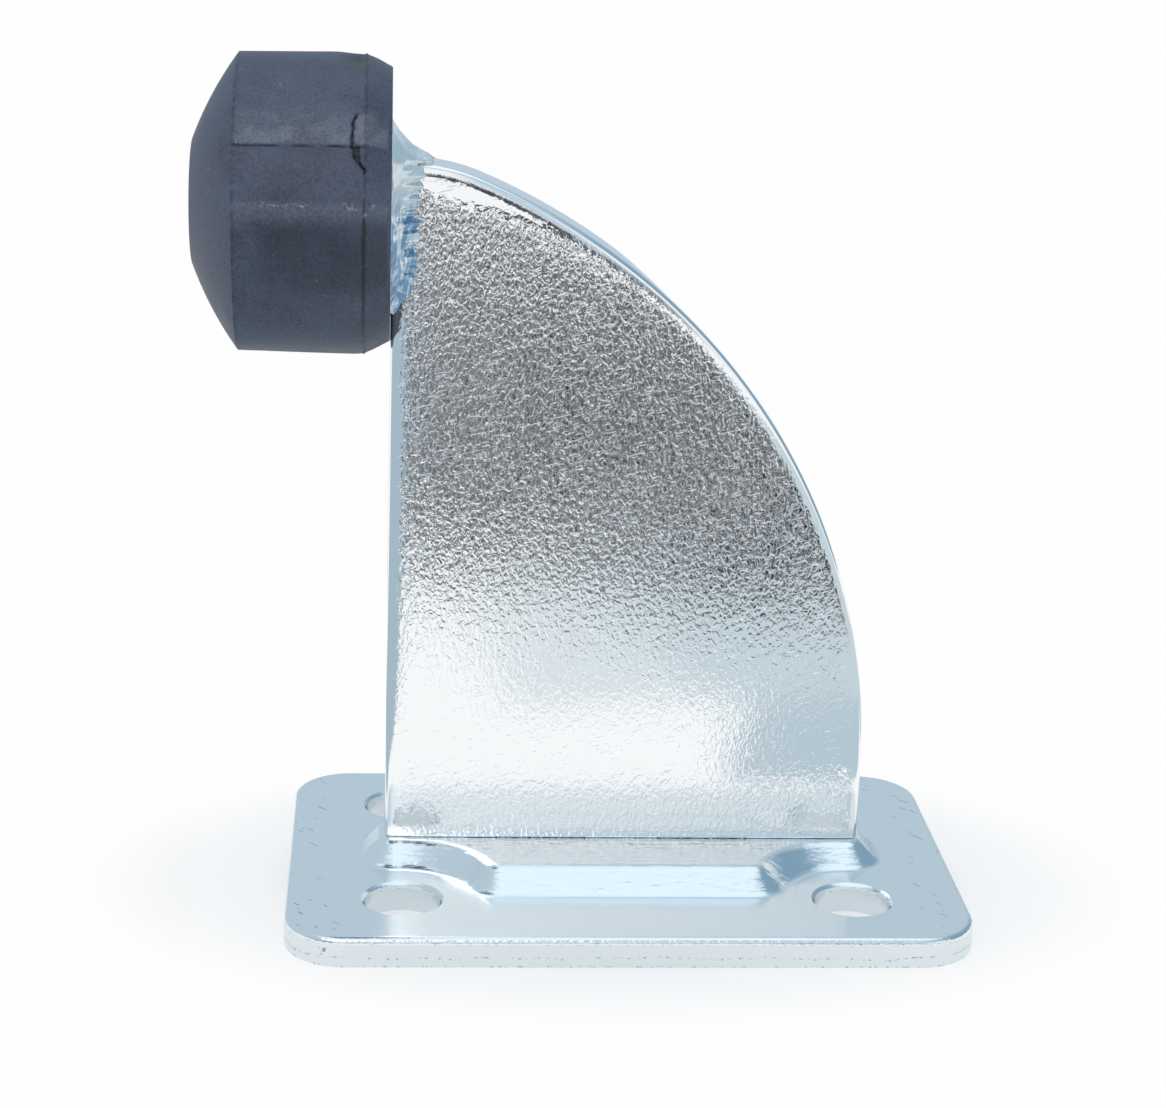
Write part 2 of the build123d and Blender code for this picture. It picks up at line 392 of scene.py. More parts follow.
TENON_LENGTH, TENON_PITCH = 12.0 * MM, 22.0 * MM
for middle in (-TENON_PITCH / 2, TENON_PITCH / 2):
    start = len(points)
    for z in (upright_low.z, foot_z):
        for x, y in ((-1, near_y), (1, near_y), (1, far_y), (-1, far_y)):
            points.append((middle + x * TENON_LENGTH / 2, y, z))
    for quad in ((3, 2, 1, 0), (4, 5, 6, 7), (0, 1, 5, 4), (1, 2, 6, 5), (2, 3, 7, 6), (3, 0, 4, 7)):
        faces.append([start + q for q in quad])
print("shape of the upright:", len(points), "points,", len(faces), "faces")

# %% [markdown]
# One function turns points and faces into a piece: it makes all faces point outwards, shades them smooth
# and keeps the real corners sharp. Another stores a value with each point, for a finish to read.

# %% Piece helpers
def make_piece(name, points, faces, material, sharp_degrees):
    mesh = bpy.data.meshes.new(name)
    mesh.from_pydata(points, [], faces)
    shell = bmesh.new()
    shell.from_mesh(mesh)
    bmesh.ops.recalc_face_normals(shell, faces=shell.faces)
    shell.to_mesh(mesh)
    shell.free()
    mesh.polygons.foreach_set("use_smooth", [True] * len(mesh.polygons))
    mesh.set_sharp_from_angle(angle=math.radians(sharp_degrees))
    mesh.materials.append(material)
    piece = bpy.data.objects.new(name, mesh)
    scene.collection.objects.link(piece)
    return piece


def store(piece, name, values):
    attribute = piece.data.attributes.new(name, "FLOAT", "POINT")
    attribute.data.foreach_set("value", values)


print("piece helpers are ready")

# %% [markdown]
# The finish of the upright is bright zinc, plated on strip as it came from the rolling mill. The rolls
# leave a grain of short crooked hollows about 0.6 mm across. Zinc follows them like a skin, so the shine
# breaks up into dark and light worms where the face mirrors the dark card, and nearly vanishes where it
# mirrors white paper. The grain is a bump from a noise pattern, and it is calmer towards the foot. A few
# long thin scratches run along the strip, and two small gouges come from handling.

# %% Zinc on rolled strip
GRAIN_WIDTH, GRAIN_HEIGHT, GRAIN_DEPTH = 0.52, 0.8, 0.1
CALM_END, CALM_START = 30 * MM, 52 * MM
CALM_GRAIN = 0.42
SCRATCH_LENGTH, SCRATCH_WIDTH, SCRATCH_TURN = 2.8, 0.2, math.radians(-14)
SCRATCH_START, SCRATCH_FULL, SCRATCH_DEPTH = 0.75, 0.81, 0.4
GOUGES = [Vector((-19.7, -3.0, 42.1)) * MM, Vector((29.7, -3.0, 16.9)) * MM]
GOUGE_CORE, GOUGE_END, GOUGE_DEPTH = 0.2 * MM, 0.6 * MM, 1.6

zinc_upright, tree = new_material("zinc plated rolled strip")
place = add(tree, "ShaderNodeTexCoord").outputs["Object"]
cells = add(tree, "ShaderNodeMapping", {"Vector": place, "Scale": [s * MM for s in
                                        (GRAIN_WIDTH, GRAIN_HEIGHT, GRAIN_HEIGHT)]}, vector_type="TEXTURE")
grain = add(tree, "ShaderNodeTexNoise", {"Vector": cells, "Scale": 1.0, "Detail": 2.0, "Roughness": 0.4,
                                         "Distortion": 0.7})
inside = add(tree, "ShaderNodeAttribute", attribute_name="inside")
combed = add(tree, "ShaderNodeMapping", {"Vector": place, "Rotation": (0, SCRATCH_TURN, 0), "Scale": [
    s * MM for s in (SCRATCH_LENGTH, SCRATCH_LENGTH, SCRATCH_WIDTH)]}, vector_type="TEXTURE")
scratch = add(tree, "ShaderNodeTexNoise", {"Vector": combed, "Scale": 1.0, "Detail": 0.0})
scratch = add(tree, "ShaderNodeMapRange", {0: scratch, 1: SCRATCH_START, 2: SCRATCH_FULL, 3: 0.0,
                                           4: SCRATCH_DEPTH})
height = add(tree, "ShaderNodeMath", {0: grain, 1: scratch}, operation="SUBTRACT")
height = add(tree, "ShaderNodeMath", {0: height, 1: inside.outputs["Fac"]}, operation="MULTIPLY")
level = add(tree, "ShaderNodeSeparateXYZ", {0: place}).outputs["Z"]
calm = add(tree, "ShaderNodeMapRange", {0: level, 1: CALM_END, 2: CALM_START, 3: CALM_GRAIN, 4: 1.0})
height = add(tree, "ShaderNodeMath", {0: height, 1: calm}, operation="MULTIPLY")
for spot in GOUGES:
    away = add(tree, "ShaderNodeVectorMath", {0: place, 1: spot}, operation="DISTANCE").outputs["Value"]
    dent = add(tree, "ShaderNodeMapRange", {0: away, 1: GOUGE_CORE, 2: GOUGE_END, 3: GOUGE_DEPTH, 4: 0.0})
    height = add(tree, "ShaderNodeMath", {0: height, 1: dent}, operation="SUBTRACT")
bump = add(tree, "ShaderNodeBump", {"Height": height, "Distance": GRAIN_DEPTH * MM, "Strength": 1.0})
metal = add(tree, "ShaderNodeBsdfPrincipled", {"Base Color": linear("#F7F9FA"), "Metallic": 1.0,
                                               "Roughness": 0.07, "Normal": bump})
add(tree, "ShaderNodeOutputMaterial", {"Surface": metal})
print("zinc on rolled strip, grain", GRAIN_HEIGHT, "mm")

# %% [markdown]
# The punch has drawn the skin smooth at the rim, most of all at the top, so the grain fades out there. How
# much of it is left is stored with each point of the face, because only the mesh knows how far a point is
# from the rim.

# %% Upright and its grain
SMOOTH_RIM, FULL_GRAIN = 0.5 * MM, 2.2 * MM
TOP_SMOOTH, TOP_START, TOP_FULL = 3.0 * MM, 88 * MM, 96 * MM
FRONT_BAND = 1 * MM
FAINT_GRAIN, FAINT_RISE, FAINT_DROP = 0.22, (0.6 * MM, 1.1 * MM), (1.5 * MM, 2.1 * MM)

upright = make_piece("upright_plate", points, faces, zinc_upright, sharp_degrees=35)
grain_share = [1.0] * count + [0.0] * count
for inset, ring in zip(insets, rings[2:]):
    for x, y, z in ring:
        side = front_x + inset
        drawn = TOP_SMOOTH * fade(z, TOP_START, TOP_FULL) * fade(x, side, side + FRONT_BAND)
        faint = FAINT_GRAIN * fade(inset, *FAINT_RISE) * (1 - 0.7 * fade(inset, *FAINT_DROP))
        grain_share.append(max(faint, fade(inset, SMOOTH_RIM + 0.8 * drawn, FULL_GRAIN + 1.4 * drawn)))
store(upright, "inside", grain_share + [1.0] * (len(points) - len(grain_share)))
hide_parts("upright")
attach(upright, "root")
print("upright:", len(upright.data.vertices), "points with their share of the grain")

# %% [markdown]
# The plate has the same zinc on steel that was pressed between polished tools, so its flats are smooth and
# mirror the room in one pale blue tone. What breaks that tone is small. On the sheared edge runs a wavy
# line, above which the shear rubbed the steel bright and below which it tore. It is placed by height, and
# the distance from the middle keeps it out of the pierced holes.

# %% Zinc on the pressed plate: sheared edge
SHEAR_LINE, SHEAR_WAVE, WAVE_LENGTH = 1.3, 0.9, 7
LINE_BLUR = 0.06 * MM
EDGE_TOP, RIM_TOP, FLAT_TOP = 3.2, 3.75, 3.99
EDGE_BLUR = 0.2
HOLES_END = (36.0, 22.0, 0.0)

zinc_plate, tree = new_material("zinc plated pressed steel")
place = add(tree, "ShaderNodeTexCoord").outputs["Object"]
across, _, level = add(tree, "ShaderNodeSeparateXYZ", {0: place}).outputs
on_edge = add(tree, "ShaderNodeMapRange", {0: level, 1: (EDGE_TOP - EDGE_BLUR) * MM, 2: EDGE_TOP * MM, 3: 1.0,
                                           4: 0.0})
on_flat = add(tree, "ShaderNodeMapRange", {0: level, 1: RIM_TOP * MM, 2: FLAT_TOP * MM, 3: 0.0, 4: 1.0})

wave = add(tree, "ShaderNodeMapping", {"Vector": place,
                                       "Scale": (per_mm(WAVE_LENGTH), per_mm(WAVE_LENGTH), 0)})
wave = add(tree, "ShaderNodeTexNoise", {"Vector": wave, "Scale": 1.0, "Detail": 3.0})
line = add(tree, "ShaderNodeMath", {0: wave, 1: 2 * SHEAR_WAVE * MM, 2: (SHEAR_LINE - SHEAR_WAVE) * MM},
           operation="MULTIPLY_ADD")
above = add(tree, "ShaderNodeMath", {0: level, 1: line}, operation="SUBTRACT")
torn = add(tree, "ShaderNodeMapRange", {0: above, 1: -LINE_BLUR, 2: LINE_BLUR, 3: 1.0, 4: 0.0})
sides = add(tree, "ShaderNodeVectorMath", {0: place}, operation="ABSOLUTE")
ends = [s * MM for s in HOLES_END]
sides = add(tree, "ShaderNodeVectorMath", {0: sides, 1: ends}, operation="SUBTRACT")
outer_x, outer_y, _ = add(tree, "ShaderNodeSeparateXYZ", {0: sides}).outputs
outer = add(tree, "ShaderNodeMath", {0: outer_x, 1: outer_y}, operation="MAXIMUM")
outer = add(tree, "ShaderNodeMath", {0: outer, 1: 0.0}, operation="GREATER_THAN")
outer = add(tree, "ShaderNodeMath", {0: outer, 1: on_edge}, operation="MULTIPLY")
torn = add(tree, "ShaderNodeMath", {0: torn, 1: outer}, operation="MULTIPLY")
print("shear line near", SHEAR_LINE, "mm")

# %% [markdown]
# Handling leaves short slanting scratches on the flats, thickest towards the plate's two ends, and one
# ragged nick in the front edge. Both are masks between 0 and 1 here. The relief and the tint below take
# them up.

# %% Zinc on the pressed plate: scratches and nick
DASH_LENGTH, DASH_WIDTH, DASH_TURN = 2.4, 0.28, math.radians(-48)
DASH_LOW, DASH_HIGH, DASH_SHARE = 0.79, 0.825, 0.8
DASH_START, DASH_FULL = 36.2, 39.5
RAG_SIZE = 0.7
NICK = Vector((-39.9, -28.25, 2.4)) * MM
NICK_RAG, NICK_CORE, NICK_END = 2.4 * MM, 1.5 * MM, 1.8 * MM

dashes = add(tree, "ShaderNodeMapping", {"Vector": place, "Rotation": (0, 0, DASH_TURN), "Scale": [
    s * MM for s in (DASH_LENGTH, DASH_WIDTH, DASH_LENGTH)]}, vector_type="TEXTURE")
dashes = add(tree, "ShaderNodeTexNoise", {"Vector": dashes, "Scale": 1.0, "Detail": 0.0})
dashes = add(tree, "ShaderNodeMapRange", {0: dashes, 1: DASH_LOW, 2: DASH_HIGH, 3: 0.0, 4: DASH_SHARE})
dashes = add(tree, "ShaderNodeMath", {0: dashes, 1: on_flat}, operation="MULTIPLY")
outwards = add(tree, "ShaderNodeMath", {0: across}, operation="ABSOLUTE")
at_ends = add(tree, "ShaderNodeMapRange", {0: outwards, 1: DASH_START * MM, 2: DASH_FULL * MM, 3: 0.0,
                                           4: 1.0})
dashes = add(tree, "ShaderNodeMath", {0: dashes, 1: at_ends}, operation="MULTIPLY")

rag = add(tree, "ShaderNodeTexNoise", {"Vector": place, "Scale": per_mm(RAG_SIZE), "Detail": 2.0})
to_nick = add(tree, "ShaderNodeVectorMath", {0: place, 1: NICK}, operation="DISTANCE")
to_nick = add(tree, "ShaderNodeMath", {0: rag, 1: NICK_RAG, 2: to_nick.outputs["Value"]},
              operation="MULTIPLY_ADD")
nick = add(tree, "ShaderNodeMapRange", {0: to_nick, 1: NICK_CORE, 2: NICK_END, 3: 1.0, 4: 0.0})
print("scratches", DASH_LENGTH, "mm long")

# %% [markdown]
# The relief is upright streaks on the sheared edge, a ragged ripple along the rolled one, which breaks its
# line of light, drawn marks on the slopes of the pressing, and hardly anything on the flats. The line, the
# scratches and the nick are cut into it.

# %% Zinc on the pressed plate: relief
STREAK_WIDTH, STREAK_HEIGHT = 0.8, 9
RIM_RIPPLE, FLAT_RIPPLE = 1.6, 0.12
DRAWN_LENGTH, DRAWN_WIDTH, DRAWN_DEPTH = 2.2, 0.7, 1.6
PRESSED_START, PRESSED_FULL = 4.02 * MM, 4.3 * MM
TORN_DEPTH, DASH_DEPTH, NICK_DEPTH = 1.0, 0.3, 4.0
RELIEF = 0.05 * MM

streak = (per_mm(STREAK_WIDTH), per_mm(STREAK_WIDTH), per_mm(STREAK_HEIGHT))
streak = add(tree, "ShaderNodeMapping", {"Vector": place, "Scale": streak})
streak = add(tree, "ShaderNodeTexNoise", {"Vector": streak, "Scale": 1.0, "Detail": 2.0})
ripple = add(tree, "ShaderNodeMix", {0: on_edge, 2: rag, 3: streak})
calm = add(tree, "ShaderNodeMapRange", {0: on_flat, 1: 0.0, 2: 1.0, 3: RIM_RIPPLE, 4: FLAT_RIPPLE})
height = add(tree, "ShaderNodeMath", {0: ripple, 1: calm}, operation="MULTIPLY")
drawn = (per_mm(DRAWN_LENGTH), per_mm(DRAWN_WIDTH), per_mm(DRAWN_WIDTH))
drawn = add(tree, "ShaderNodeMapping", {"Vector": place, "Scale": drawn})
drawn = add(tree, "ShaderNodeTexNoise", {"Vector": drawn, "Scale": 1.0, "Detail": 2.0})
pressed = add(tree, "ShaderNodeMapRange", {0: level, 1: PRESSED_START, 2: PRESSED_FULL, 3: 0.0,
                                           4: DRAWN_DEPTH})
height = add(tree, "ShaderNodeMath", {0: drawn, 1: pressed, 2: height}, operation="MULTIPLY_ADD")
for mark, depth in ((torn, TORN_DEPTH), (dashes, DASH_DEPTH), (nick, NICK_DEPTH)):
    height = add(tree, "ShaderNodeMath", {0: mark, 1: -depth, 2: height}, operation="MULTIPLY_ADD")
bump = add(tree, "ShaderNodeBump", {"Height": height, "Distance": RELIEF, "Strength": 1.0})
print("relief", RELIEF / MM, "mm deep")

# %% [markdown]
# Dark crumbs of dirt sit along the shear's line, dark specks of painted shade sit just under the rolled edge,
# more dark specks run along the foot of the edge, and the scratches and the nick are dull. The rest is zinc,
# a little darker where it was sheared.

# %% Zinc on the pressed plate: tint
CRUMB_SIZE, CRUMB_LOW, CRUMB_HIGH, CRUMB_SHARE = 0.6, 0.54, 0.66, 0.6
UNDER_RIM, RIM_BAND, LINE_BAND, FOOT_BAND = 3.25 * MM, 0.25 * MM, 0.12 * MM, 0.2 * MM

dull_and_painted_shade = add(tree, "ShaderNodeMath", {0: dashes, 1: nick}, operation="MAXIMUM")
crumbs_and_painted_shade = add(tree, "ShaderNodeTexNoise", {"Vector": place, "Scale": per_mm(CRUMB_SIZE), "Detail": 1.0})
crumbs_and_painted_shade = add(tree, "ShaderNodeMapRange", {0: crumbs_and_painted_shade, 1: CRUMB_LOW, 2: CRUMB_HIGH, 3: 0.0, 4: CRUMB_SHARE})
# Specks just under the rolled edge are painted shade, those along the shear's line are dirt, and those along
# the foot of the edge are plain dark specks.
painted_shade_under_rim = add(tree, "ShaderNodeMath", {0: level, 1: UNDER_RIM, 2: RIM_BAND}, operation="COMPARE")
by_line = add(tree, "ShaderNodeMath", {0: above, 1: 0.0, 2: LINE_BAND}, operation="COMPARE")
by_foot = add(tree, "ShaderNodeMath", {0: level, 1: 0.0, 2: FOOT_BAND}, operation="COMPARE")
near = add(tree, "ShaderNodeMath", {0: painted_shade_under_rim, 1: by_line}, operation="MAXIMUM")
near = add(tree, "ShaderNodeMath", {0: near, 1: by_foot}, operation="MAXIMUM")
near = add(tree, "ShaderNodeMath", {0: near, 1: outer}, operation="MULTIPLY")
crumbs_and_painted_shade = add(tree, "ShaderNodeMath", {0: crumbs_and_painted_shade, 1: near}, operation="MULTIPLY")
dull_and_painted_shade = add(tree, "ShaderNodeMath", {0: dull_and_painted_shade, 1: crumbs_and_painted_shade}, operation="MAXIMUM")
bright = add(tree, "ShaderNodeMix", {0: on_edge, 6: linear("#EEF3F5"), 7: linear("#E2EAED")},
             data_type="RGBA")
tint = add(tree, "ShaderNodeMix", {0: dull_and_painted_shade, 6: bright.outputs[2], 7: linear("#7E8C95")}, data_type="RGBA")
metal = add(tree, "ShaderNodeBsdfPrincipled", {"Base Color": tint.outputs[2], "Metallic": 1.0,
                                               "Roughness": 0.19, "Normal": bump})
add(tree, "ShaderNodeOutputMaterial", {"Surface": metal})

for name in ("base_plate", "buffer_disc"):
    nodes[name].data.materials.clear()
    nodes[name].data.materials.append(zinc_plate)
print("zinc on the plate and the disc")

# %% [markdown]
# Plated weld metal froze as it flowed, so it is glassier than the strip beside it. Its tint drifts slowly
# between a blue and a white, which are painted reflections over the zinc's own bluish tone. Towards its top
# the tint is painted paler, as painted light from above, and the metal there is duller. The swells themselves
# are modelled below. The finish adds the fine flow lines and the painted drift between the blue and the
# white.

# %% Zinc on weld metal
FLOW_LENGTH, FLOW_WIDTH = 2.6, 0.5
FLOW_TURN, FLOW_DEPTH = math.radians(12), 0.055
DRIFT_LENGTH, DRIFT_WIDTH = 3.6, 1.1
DRIFT_LOW, DRIFT_HIGH = 0.45, 0.68
PALE_START, PALE_FULL = 91 * MM, 97 * MM
DULL_METAL = 0.45

zinc_weld, tree = new_material("zinc plated weld metal")
place = add(tree, "ShaderNodeTexCoord").outputs["Object"]
flow, painted_reflection_drift = [add(tree, "ShaderNodeMapping", {"Vector": place, "Rotation": (0, FLOW_TURN, 0), "Scale": [
    s * MM for s in (width, width, length)]}, vector_type="TEXTURE")
    for width, length in ((FLOW_WIDTH, FLOW_LENGTH), (DRIFT_WIDTH, DRIFT_LENGTH))]
flow = add(tree, "ShaderNodeTexNoise", {"Vector": flow, "Scale": 1.0, "Detail": 2.0, "Distortion": 1.2})
painted_reflection_drift = add(tree, "ShaderNodeTexNoise", {"Vector": painted_reflection_drift, "Scale": 1.0, "Detail": 2.0, "Distortion": 1.5})
# The drift between blue and white is painted reflection over the zinc's own bluish tone.
painted_reflection_drift = add(tree, "ShaderNodeMapRange", {0: painted_reflection_drift, 1: DRIFT_LOW, 2: DRIFT_HIGH, 3: 0.0, 4: 1.0})
level = add(tree, "ShaderNodeSeparateXYZ", {0: place}).outputs["Z"]
# The tint is painted paler towards the top, as painted light from above, and the same ramp also makes the
# metal duller there.
painted_top_light_and_dulling = add(tree, "ShaderNodeMapRange", {0: level, 1: PALE_START, 2: PALE_FULL, 3: 0.0, 4: 1.0})
painted_reflection_and_top_light = add(tree, "ShaderNodeMix", {0: painted_top_light_and_dulling, 6: linear("#7FA3C0"), 7: linear("#F2F7F4")},
             data_type="RGBA")
tint = add(tree, "ShaderNodeMix", {0: painted_reflection_drift, 6: painted_reflection_and_top_light.outputs[2], 7: linear("#E6EFF3")}, data_type="RGBA")
bare = add(tree, "ShaderNodeMapRange", {0: painted_top_light_and_dulling, 1: 0.0, 2: 1.0, 3: 1.0, 4: DULL_METAL})
bump = add(tree, "ShaderNodeBump", {"Height": flow, "Distance": FLOW_DEPTH * MM, "Strength": 1.0})
metal = add(tree, "ShaderNodeBsdfPrincipled", {"Base Color": tint.outputs[2], "Metallic": bare,
                                               "Roughness": 0.13, "Normal": bump})
add(tree, "ShaderNodeOutputMaterial", {"Surface": metal})
nodes["foot_welds"].data.materials.clear()
nodes["foot_welds"].data.materials.append(zinc_weld)
print("zinc on the welds")

# %% [markdown]
# A weld follows a path, which is what Geometry Nodes are good at: a curve up one side of the upright's
# front end, over the top and down the other side, and a hollow section swept along it. Both are drawn flat
# as plain curves, in the path's own plane, and the tree stands the finished bead up against the disc.

# %% Weld's path and section
WELD_START = 79.4 * MM
PATH_OFFSET = 0.3 * MM
disc_toe, upright_toe = Vector((5.5, 0)) * MM, Vector((0.2, 5.2)) * MM
hollow_pull = Vector((2.3, 1.9)) * MM
TURN_STEPS, SECTION_STEPS = 6, 14


def draw_curve(name, points, cyclic):
    data = bpy.data.curves.new(name, "CURVE")
    data.dimensions = "3D"
    spline = data.splines.new("POLY")
    spline.points.add(len(points) - 1)
    for target, (x, y) in zip(spline.points, points):
        target.co = (x, y, 0, 1)
    spline.use_cyclic_u = cyclic
    curve = bpy.data.objects.new(name, data)
    scene.collection.objects.link(curve)
    return curve


turns = [math.radians(90 * t / TURN_STEPS) for t in range(TURN_STEPS + 1)]
path_points = [(near_y - PATH_OFFSET, WELD_START)]
path_points += [(near_y - PATH_OFFSET * math.cos(a), top_z + PATH_OFFSET * math.sin(a)) for a in turns]
path_points += [(far_y + PATH_OFFSET * math.sin(a), top_z + PATH_OFFSET * math.cos(a)) for a in turns]
path_points.append((far_y + PATH_OFFSET, WELD_START))
section_points = []
for k in range(SECTION_STEPS + 1):
    point = bend(disc_toe, hollow_pull, upright_toe, k / SECTION_STEPS)
    section_points.append((PATH_OFFSET - point.x, -point.y))
section_points += [(PATH_OFFSET, -upright_toe.y), (PATH_OFFSET, 0)]
weld_path = draw_curve("weld_path", path_points, False)
weld_section = draw_curve("weld_section", section_points, True)
print("weld section with", len(section_points), "points")

# %% [markdown]
# The first half of the tree samples the path finely, thins the bead towards its two ends and lets its width
# wander, as a hand-held torch does. The length walked along the path is stored on the way, for the ripples.

# %% Weld bead tree: sweep
TOP_END, SIDE_START, END_START, END = 0.06, 0.22, 0.4, 0.5
TOP_SCALE, SIDE_SCALE, END_SCALE = 0.92, 0.68, 0.25

bead = bpy.data.node_groups.new("weld bead", "GeometryNodeTree")
bead.interface.new_socket("Geometry", in_out="INPUT", socket_type="NodeSocketGeometry")
bead.interface.new_socket("Geometry", in_out="OUTPUT", socket_type="NodeSocketGeometry")
bead_sizes = {"Step": 0.2 * MM, "Wander": 0.2, "Wander Length": 6.0 * MM, "Ripple Pitch": 1.3 * MM,
              "Ripple Height": 0.05 * MM, "Lump Size": 1.6 * MM, "Lump Height": 1.7 * MM, "Seed": 4.0,
              "Foot": front_x, "Rag Length": 1.5 * MM, "Rag Reach": 4.0 * MM}
for name in bead_sizes:
    bead.interface.new_socket(name, in_out="INPUT", socket_type="NodeSocketFloat")
bead.interface.new_socket("Section", in_out="INPUT", socket_type="NodeSocketObject")
bead.interface.new_socket("Material", in_out="INPUT", socket_type="NodeSocketMaterial")
given = add(bead, "NodeGroupInput").outputs

fine = add(bead, "GeometryNodeResampleCurve", {"Curve": given["Geometry"], "Length": given["Step"]},
           mode="LENGTH")
level = add(bead, "GeometryNodeSetCurveNormal", {"Curve": fine}, mode="Z_UP")
along = add(bead, "GeometryNodeSplineParameter")
from_middle = add(bead, "ShaderNodeMath", {0: along.outputs["Factor"], 1: 0.5}, operation="SUBTRACT")
from_middle = add(bead, "ShaderNodeMath", {0: from_middle}, operation="ABSOLUTE")
top_thin = add(bead, "ShaderNodeMapRange", {0: from_middle, 1: TOP_END, 2: SIDE_START, 3: TOP_SCALE,
                                            4: SIDE_SCALE})
end_thin = add(bead, "ShaderNodeMapRange", {0: from_middle, 1: END_START, 2: END, 3: 1.0, 4: END_SCALE},
               interpolation_type="SMOOTHSTEP")
thin = add(bead, "ShaderNodeMath", {0: top_thin, 1: end_thin}, operation="MULTIPLY")
walked = add(bead, "ShaderNodeMath", {0: along.outputs["Length"], 1: given["Wander Length"]},
             operation="DIVIDE")
wander = add(bead, "ShaderNodeTexNoise", {"W": walked, "Scale": 1.0, "Detail": 0.0}, noise_dimensions="1D")
wander = add(bead, "ShaderNodeMath", {0: wander, 1: -1.0}, operation="ADD")
wander = add(bead, "ShaderNodeMath", {0: wander, 1: given["Wander"], 2: 1.0}, operation="MULTIPLY_ADD")
width = add(bead, "ShaderNodeMath", {0: thin, 1: wander}, operation="MULTIPLY")
marked = add(bead, "GeometryNodeStoreNamedAttribute", {"Geometry": level, "Name": "along",
                                                       "Value": along.outputs["Length"]})
drawn = add(bead, "GeometryNodeObjectInfo", {"Object": given["Section"]})
swept = add(bead, "GeometryNodeCurveToMesh", {"Curve": marked, "Profile Curve": drawn.outputs["Geometry"],
                                              "Scale": width, "Fill Caps": True})
print("the sweep takes", len(bead.nodes), "nodes")

# %% [markdown]
# The second half pushes the skin in and out: slow lumps where the pool stopped and started, and faint
# ripples across the bead. Only the open face moves, so the toes stay on the steel and on the disc, but the
# edge on the upright is then drawn in and out along it, which leaves it ragged.

# %% Weld bead tree: lumps, ripples and ragged edge
LUMP_STRETCH, LUMP_LEVEL = (1.0, 0.45, 1.0), 0.56
SKIN_START, SKIN_FULL = 0.3, 0.6
RAG_START, RAG_FULL = 1.2 * MM, 3.5 * MM

spot = add(bead, "GeometryNodeInputPosition")
across = add(bead, "ShaderNodeSeparateXYZ", {0: spot})
stored = add(bead, "GeometryNodeInputNamedAttribute", {"Name": "along"})
lag = add(bead, "ShaderNodeMath", {0: stored, 1: across.outputs["Z"]}, operation="SUBTRACT")
phase = add(bead, "ShaderNodeMath", {0: lag, 1: given["Ripple Pitch"]}, operation="DIVIDE")
phase = add(bead, "ShaderNodeMath", {0: phase, 1: math.tau}, operation="MULTIPLY")
ripple = add(bead, "ShaderNodeMath", {0: phase}, operation="SINE")
ripple = add(bead, "ShaderNodeMath", {0: ripple, 1: given["Ripple Height"]}, operation="MULTIPLY")
lump_scale = add(bead, "ShaderNodeMath", {0: 1.0, 1: given["Lump Size"]}, operation="DIVIDE")
drawn_out = add(bead, "ShaderNodeVectorMath", {0: spot, 1: LUMP_STRETCH}, operation="MULTIPLY")
lump = add(bead, "ShaderNodeTexNoise", {"Vector": drawn_out, "W": given["Seed"], "Detail": 1.0,
                                        "Scale": lump_scale, "Distortion": 0.6}, noise_dimensions="4D")
lump = add(bead, "ShaderNodeMath", {0: lump, 1: LUMP_LEVEL}, operation="SUBTRACT")
swell = add(bead, "ShaderNodeMath", {0: lump, 1: given["Lump Height"], 2: ripple}, operation="MULTIPLY_ADD")
facing = add(bead, "GeometryNodeInputNormal")
outward = add(bead, "ShaderNodeSeparateXYZ", {0: facing})
open_face = add(bead, "ShaderNodeMapRange", {0: outward.outputs["Z"], 1: SKIN_START, 2: SKIN_FULL, 3: 0.0,
                                             4: 1.0})
swell = add(bead, "ShaderNodeMath", {0: swell, 1: open_face}, operation="MULTIPLY")
swell = add(bead, "ShaderNodeMath", {0: swell, 1: thin}, operation="MULTIPLY")
push = add(bead, "ShaderNodeVectorMath", {0: facing, "Scale": swell}, operation="SCALE")
rag = add(bead, "ShaderNodeMath", {0: stored, 1: given["Rag Length"]}, operation="DIVIDE")
rag = add(bead, "ShaderNodeTexNoise", {"W": rag, "Scale": 1.0, "Detail": 2.0}, noise_dimensions="1D")
rag = add(bead, "ShaderNodeMath", {0: rag, 1: 0.5}, operation="SUBTRACT")
toe = add(bead, "ShaderNodeMapRange", {0: across.outputs["Z"], 1: RAG_START, 2: RAG_FULL, 3: 0.0,
                                       4: given["Rag Reach"]})
rag = add(bead, "ShaderNodeMath", {0: rag, 1: toe}, operation="MULTIPLY")
rag = add(bead, "ShaderNodeCombineXYZ", {"Z": rag})
push = add(bead, "ShaderNodeVectorMath", {0: push, 1: rag}, operation="ADD")
lumpy = add(bead, "GeometryNodeSetPosition", {"Geometry": swept, "Offset": push})
smooth = add(bead, "GeometryNodeSetShadeSmooth", {0: lumpy})
foot = add(bead, "ShaderNodeCombineXYZ", {"X": given["Foot"]})
stood = add(bead, "GeometryNodeTransform", {"Geometry": smooth, "Translation": foot,
                                            "Rotation": (math.radians(90), 0, math.radians(90))})
real = add(bead, "GeometryNodeRealizeInstances", {"Geometry": stood})
dressed = add(bead, "GeometryNodeSetMaterial", {"Geometry": real, "Material": given["Material"]})
add(bead, "NodeGroupOutput", {"Geometry": dressed})
print("weld bead tree with", len(bead.nodes), "nodes")

# %% [markdown]
# The tree runs as a modifier on the path. Its inputs are set by their identifiers before anything is
# evaluated, and the result is copied into a plain mesh, so that nothing but the bead itself is left in the
# scene.

